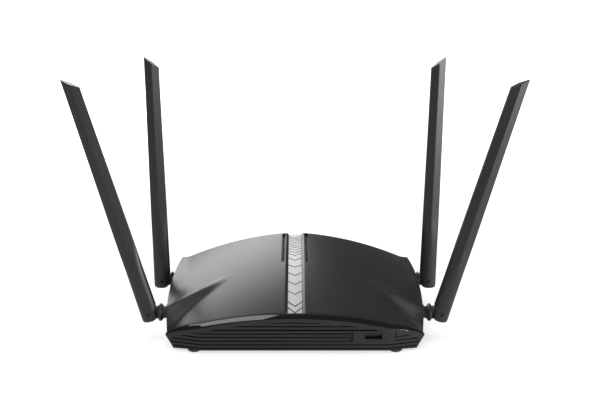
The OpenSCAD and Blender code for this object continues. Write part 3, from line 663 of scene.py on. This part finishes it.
# %% Cover openings
PANEL_MOUTH = (-96, 64, 10), (96, 80, 28)
SIDE_X = (110.0, 113.5)                  # the side wall at the front and rear sockets
RECESS_R, POCKET_R = 5.05, 4.5           # for a swivel's neck, and for the clip behind it
cut(cover, block(*PANEL_MOUTH))
for side in (-1, 1):
    for hub, wall in zip(HUB_Y, SIDE_X):
        cut(cover, rod((side*(wall + 4), hub, HUB_Z), RECESS_R, 20, "X"))
        cut(cover, rod((side*(wall - 7), hub, HUB_Z), POCKET_R, 4.4, "X"))
fit(smooth(cover, 28), "housing", "cover_plastic", "top_cover")

# %% [markdown]
# ## Front: brow, gloss band and louvres
#
# Under the cover's front edge runs a sloped band of piano black, and under that the louvred front.
# Both follow the arch across and the swept-back corners in plan. The band is a bar swept along
# that line, fine enough that its reflections run clean. The louvres are a copy of the CAD piece,
# whose groove floors are tilted down inwards so that they read as dark slots from above.

# %% Gloss band
BAND = 3.7                               # height of the band
FACE_Y = Y_FRONT - 2                     # the louvred face, in the middle
STEPS = 172
stations = [-HALF_FRONT + 2*HALF_FRONT*k/STEPS for k in range(STEPS + 1)]
stations = sorted({*[s for s in stations if abs(abs(s) - SWEEP_X) > 0.5], -SWEEP_X, SWEEP_X})


def bar(name, section):
    """A bar along the front; section is its outline, as (depth, height) from the top edge."""
    def place(i, j):
        x = stations[i]
        depth, height = section[j % len(section)]
        drop = edge_drop(x) if height > -1 else 0
        return x, FACE_Y + sweep(x) + depth, arch(x, 0) + height - drop
    return shaped_grid(name, len(stations) - 1, len(section), place, solid=True)


band = bar("gloss_front_band", [(0, -BAND + 0.02), (0.06, -BAND + 0.25), (1.95, -0.12),
                                (3.5, -0.85), (3.5, -BAND + 0.02)])
fit(smooth(band, 20), "housing", "gloss_black", "gloss_band")
brow = bar("cover_brow", [(2.0, -0.1), (2.12, 0.0), (3.58, 0.0), (3.58, -0.8)])
fit(smooth(brow, 40), "housing", "cover_plastic")

# %% Louvred front
def copy_of(node, name):
    """A merged copy of a CAD node, its flat faces whole again."""
    piece = nodes[node].copy()
    piece.data = nodes[node].data.copy()
    piece.parent = None
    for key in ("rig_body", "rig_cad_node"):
        if key in piece:
            del piece[key]
    bpy.context.scene.collection.objects.link(piece)
    piece.name = piece.data.name = name
    piece.matrix_world = Matrix.Identity(4)
    edit(piece)
    bpy.ops.mesh.remove_doubles(threshold=0.004*MM)
    bpy.ops.mesh.dissolve_limited(angle_limit=math.radians(0.4))
    done()
    return piece


louvres = copy_of("front_grille", "louvred_front")
GROOVES, FIRST_FLOOR, PITCH = 8, 3.6, 3.3
TILT = 1.2                               # how far the inner edge of a groove's floor goes down
for k in range(GROOVES):
    floor = FIRST_FLOOR + PITCH*k
    edit(louvres, "VERT", lambda v: abs(v.co.z/MM - floor) < 0.02
         and v.co.y/MM > FACE_Y + sweep(v.co.x/MM) + 0.8)
    bpy.ops.transform.translate(value=(0, 0, -TILT*MM))
    done()
fit(smooth(louvres, 24), "housing", "tray_plastic", "front_grille")

# %% [markdown]
# ## Chevron strip
#
# The strip is a silver-white moulding with V-shaped grooves that point to the front. They lie wide
# apart at the front and crowd together to the rear. The grid's rows are V-shaped themselves, three
# to a groove, so each groove is a real cut with its bottom on the middle row.

# %% Chevron grooves
# Each groove: the y of its point, how far back its two ends lie, and its width
GROOVE_LIST = [(-71.9, 7.2, 1.9), (-63.7, 6.9, 1.9), (-46.9, 5.9, 1.4), (-31.7, 5.6, 1.4),
               (-17.0, 5.1, 1.4), (-2.4, 4.8, 1.4), (10.8, 4.7, 1.3), (21.0, 4.6, 1.3),
               (26.9, 4.4, 1.3), (32.8, 4.1, 1.3)]
GROOVE_LIST += [(38.4 + 4.3*k - 0.09*k*k, 3.8, 1.1) for k in range(8)]
STRIP_HW, STRIP_LOW, STRIP_T = 6.2, 2.0, 1.5     # half width, level below the crown, thickness
STRIP_Y = (-74.0, 73.4)
DEEP = 0.6                               # depth of a groove, as a share of its width
lines = [(STRIP_Y[0], 0.0, 0.0)]
for tip, rise, width in GROOVE_LIST:
    lines += [(tip - width/2, rise, 0.0), (tip, rise, DEEP*width), (tip + width/2, rise, 0.0)]
lines += [(STRIP_Y[1], 0.0, 0.0)]
across = [0, 0.5, 2.6, 4.3, 5.4, 6.0, STRIP_HW]
print(len(GROOVE_LIST), "grooves")

# %% Chevron strip
def strip_point(i, j):
    i -= len(across) - 1
    x = math.copysign(across[abs(i)], i)
    tip, rise, depth = lines[j]
    y = tip + rise*abs(x)/STRIP_HW
    y = min(max(y, STRIP_Y[0] + 0.001*j), STRIP_Y[1])
    if abs(x) == STRIP_HW:               # the outermost column: no groove, and a little lower
        return x, y, crown(y) - STRIP_LOW - 0.15
    return x, y, crown(y) - STRIP_LOW - depth


strip = shaped_grid("chevron_band", 2*(len(across) - 1), len(lines) - 1, strip_point)
edit(strip)
bpy.ops.mesh.extrude_region_move(TRANSFORM_OT_translate={"value": (0, 0, -STRIP_T*MM)})
bpy.ops.mesh.select_all(action="SELECT")
bpy.ops.mesh.normals_make_consistent(inside=False)
done()
fit(smooth(strip, 20), "housing", "silver_strip", "chevron_strip")
# the groove slopes take the darker grey: painted shade in the grooves, together with the grey light
# guide seen through them
strip.data.materials.append(groove_shade_and_guide_grey)
for face in strip.data.polygons:         # the slopes of the grooves are darker
    face.material_index = int(0.2 < face.normal.z < 0.93)

# %% [markdown]
# ## Carried-over pieces
#
# Flat, turned and drilled parts have the right shape already. Each is copied from the CAD model,
# merged and smoothed by angle, and most are given a small edge radius that catches the light. The
# vent ladders are set 1.4 mm deeper in their slots.

# %% Carried-over pieces
def carry(node, name, body, slot, radius):
    """A merged copy of a CAD node, with an edge radius in millimetres, which stands for it."""
    piece = copy_of(node, name)
    if radius:
        modify(piece, "BEVEL", width=radius*MM, segments=2, limit_method="ANGLE",
               angle_limit=math.radians(35), use_clamp_overlap=True)
    return fit(smooth(piece, 30), body, slot, node)


carry("bottom_tray", "router_tray", "housing", "tray_plastic", 0)
carry("rear_panel", "rear_port_panel", "housing", "tray_plastic", 0.25)
ladders = carry("vent_grids", "vent_ladders", "housing", "tray_plastic", 0)
edit(ladders)
bpy.ops.transform.translate(value=(0, 0, -1.4*MM))
done()
carry("antenna_sockets", "antenna_collars", "housing", "tray_plastic", 0.25)
carry("case_screws", "case_screw_set", "housing", "screw_steel", 0.2)
carry("lan_sockets", "lan_socket_row", "housing", "socket_yellow", 0.15)
carry("internet_socket", "internet_socket_body", "housing", "socket_blue", 0.15)
carry("power_inlet", "power_inlet_body", "housing", "chip_black", 0.15)
carry("usb_port", "usb_port_shell", "housing", "can_steel", 0)
carry("power_button", "power_button_cap", "power_button", "button_plastic", 0.4)
carry("pair_button", "pair_button_cap", "pair_button", "button_plastic", 0.25)

# %% [markdown]
# ## Feet
#
# The feet are soft rubber domes, bonded under the corners. Each starts as a cylinder whose lower
# edge is rolled over by a wide bevel.

# %% Feet
FOOT_X, FOOT_Y = (-84, 84), (-71.8, 60)
PAD_R, PAD_H, PAD_ROLL = 6, 2.18, 1.7
feet = []
for x in FOOT_X:
    for y in FOOT_Y:
        foot = rod((x, y, PAD_H/2), PAD_R, PAD_H, "Z", "foot", sides=64)
        edit(foot, "EDGE", lambda e: all(p.z < 0.01 for p in ends(foot, e)))
        bpy.ops.mesh.bevel(offset=PAD_ROLL*MM, segments=6, affect="EDGES")
        done()
        feet.append(foot)
only(feet[0])
for foot in feet:
    foot.select_set(True)
bpy.ops.object.join()
feet = bpy.context.object
feet.name = feet.data.name = "rubber_foot_set"
fit(smooth(feet, 30), "housing", "rubber", "rubber_feet")

# %% [markdown]
# ## Antenna blades
#
# A blade rises about 200 mm above its hinge pin. It is an oval grip at its foot that flows into a
# flat six-sided bar with a ridge down each face, and it has a slanting cut at the tip. It is two
# shells with a parting line along both edges. The grid is wrapped round the blade: one way it runs
# up the length, the other way once round the section. One blade is modelled about the pin at the
# origin, and copied to the four corners.

# %% Blade sizes
BLADE_L, GRIP = 202.5, 58.0              # height above the pin, and height of the oval grip
BLADE_W, TIP_W = 15.4, 12.2              # widths at the foot and at the tip
BLADE_T, RIDGE_T, EDGE_T = 11.0, 9.0, 2.8     # thicknesses of the grip, the ridge and the edges
FOOT_R, HEEL_R = BLADE_W/2, 3.2          # the foot's inner and outer rounding
PIN_HOLE = 1.55                          # radius of the hole for the hinge pin
half_shares = [0.03, 0.16, 0.38, 0.58, 0.74, 0.86, 0.94, 0.985, 1]
shares = [-u for u in reversed(half_shares)] + half_shares     # places across half a width
low_levels = [-FOOT_R*math.sin(math.radians(a)) for a in (89.5, 84, 76, 66, 54, 42, 30, 18, 8)]
levels = low_levels + [4*k for k in range(24)] + [96 + 10*k for k in range(11)] + [206, 212]
SEAM = [(0, -0.14), (-0.28, -0.06), (-0.28, 0.06), (0, 0.14)]  # its groove, as (inset, y)
# Once round the section: share of the half width, side of the blade (or y in the seam), inset
ring = [(u, -1, 0) for u in shares] + [(1, y, inset) for inset, y in SEAM] \
    + [(u, 1, 0) for u in reversed(shares)] + [(-1, -y, -inset) for inset, y in SEAM]
print(len(ring), "points round the blade,", len(levels), "levels up it")

# %% Blade
def half_width(z):
    return lerp(BLADE_W, TIP_W, clip(z/BLADE_L))/2


def foot_reach(z):
    """How far the foot reaches inwards and outwards at a height below the pin."""
    if z >= 0:
        return half_width(z), half_width(z)
    inner = math.sqrt(max(0.0, FOOT_R**2 - z*z))
    over = max(0.0, -z - (FOOT_R - HEEL_R))
    return inner, FOOT_R - HEEL_R + math.sqrt(max(0.0, HEEL_R*HEEL_R - over*over))


def thickness(u, z):
    """Half the blade's thickness at a share u across: oval in the grip, then ridged."""
    m = ease((z - GRIP*0.55)/(GRIP*0.6))
    oval = BLADE_T/2*math.sqrt(max(0.0, 1 - u*u))
    flat = lerp(RIDGE_T/2, EDGE_T/2, abs(u))
    body = max(lerp(oval, flat, m), lerp(0.6, EDGE_T/2, m))
    roll = 0.35*ease((-z - FOOT_R + 2.2)/2.2)
    return body*(1 - roll)


def blade_point(i, j):
    z = levels[i]
    inner, outer = foot_reach(z)
    u, face, inset = ring[j % len(ring)]
    x = u*outer if u > 0 else u*inner
    if z > -FOOT_R + 0.2:
        x += inset
    if abs(face) != 1:                   # in the seam
        return x, face, z
    return x, face*thickness(x/half_width(0) if z < 0 else u, z), z


blade = shaped_grid("blade", len(levels) - 1, len(ring), blade_point, solid=True)
edit(blade)                              # the slanting cut at the tip
bpy.ops.mesh.bisect(plane_co=(5.8*MM, 0, (BLADE_L + 4.4)*MM), plane_no=(-0.6, 0, 0.8),
                    clear_outer=True, use_fill=True)
done()
TONGUE_SLOT = (-16, -2.8, -16), (5.6, 2.8, 5.6)
cut(blade, block(*TONGUE_SLOT))
cut(blade, rod((0, 0, 0), PIN_HOLE, 20, "Y"))
outwards(blade)
smooth(blade, 33)
print("blade", len(blade.data.polygons), "faces")

# %% [markdown]
# ## Swivels
#
# Each antenna turns in its socket on a short shaft with a grip ring, whose rim is a flattened
# ridge, and a tongue that carries the hinge pin. The turned part is a lathe profile; the tongue is
# a cylinder drawn out to a slab on its inner side. The front sockets stand further out of the side
# wall than the rear ones, so their necks are longer.

# %% Swivels and pins
SHAFT_R, NECK_R, GRIP_R = 3.6, 5.45, 7.5
TONGUE_R, TONGUE_T, TONGUE_REACH = 5, 5, 8.4


def swivel(front):
    """The turned part and the tongue of one antenna; x is counted from the hinge pin."""
    shaft, neck, grip = (-26.9, -13.0, -12.0) if front else (-21.9, -10.95, -10.8)
    profile = [(shaft, 0), (shaft, SHAFT_R - 0.4), (shaft + 0.4, SHAFT_R),
               (neck, SHAFT_R), (neck, 5.3), (neck + 0.15, NECK_R),
               (grip, NECK_R), (grip + 0.1, 5.9), (grip + 1.1, 7.35), (grip + 1.4, GRIP_R),
               (-9.3, GRIP_R), (-9.0, 7.35), (-8.15, 5.9), (-8.05, NECK_R),
               (-7.98, 5.2), (-7.98, 0)]
    turned = lathe("swivel", profile)
    tongue = rod((0, 0, 0), TONGUE_R, TONGUE_T, "Y", "tongue")
    for v in tongue.data.vertices:
        if v.co.x < -0.1*MM:
            v.co.x = -TONGUE_REACH*MM
    modify(tongue, "BEVEL", width=0.3*MM, segments=2, limit_method="ANGLE",
           angle_limit=math.radians(40))
    cut(tongue, rod((0, 0, 0), PIN_HOLE, 20, "Y"))
    only(turned)
    tongue.select_set(True)
    bpy.ops.object.join()
    return smooth(bpy.context.object, 30)


swivels = [swivel(True), swivel(False)]
LEAN = math.radians(14.9)                # of the front blades, outwards


def placed(master, name, corner, lean=0.0):
    """A copy of a master piece at one corner, its place in its mesh."""
    front, right = corner.startswith("front"), corner.endswith("right")
    piece = master.copy()
    piece.data = master.data.copy()
    bpy.context.scene.collection.objects.link(piece)
    piece.name = piece.data.name = name
    place = Matrix.Translation(Vector((HINGE_X, 0, 0))*MM) @ Matrix.Rotation(lean, 4, "Y")
    if not right:
        place = Matrix.Rotation(math.pi, 4, "Z") @ place
    place = Matrix.Translation(Vector((0, HUB_Y[0 if front else 1], HUB_Z))*MM) @ place
    piece.data.transform(place)
    return piece


for corner in ("front_left", "front_right", "rear_left", "rear_right"):
    front = corner.startswith("front")
    piece = placed(blade, "antenna_blade_" + corner, corner, LEAN if front else 0)
    fit(piece, "antenna_" + corner, "antenna_plastic", "blade_face_" + corner,
        "blade_back_" + corner)
    piece = placed(swivels[0 if front else 1], "antenna_swivel_" + corner, corner)
    fit(piece, "swivel_" + corner, "antenna_plastic", "swivel_" + corner)
    pin = carry("pin_" + corner, "hinge_pin_" + corner, "antenna_" + corner, "screw_steel", 0.25)
    pin.data.materials[0] = black_steel
for master in [blade, *swivels]:
    bpy.data.objects.remove(master)

# %% [markdown]
# ## Inner pieces
#
# The board and what stands on it, the switches, the clips and the aerials are closed in by the
# housing. They keep their CAD shapes and take the finish that the record names for them.

# %% Inner pieces
slots = {row["node"]: row["material_slot"] for row in frame["record"]["subparts"]}
kept = 0
for name, node in nodes.items():
    if not node.hide_render:
        node.data.materials.clear()
        node.data.materials.append(finishes[slots[name]])
        kept += 1
print(kept, "CAD nodes keep their shape")
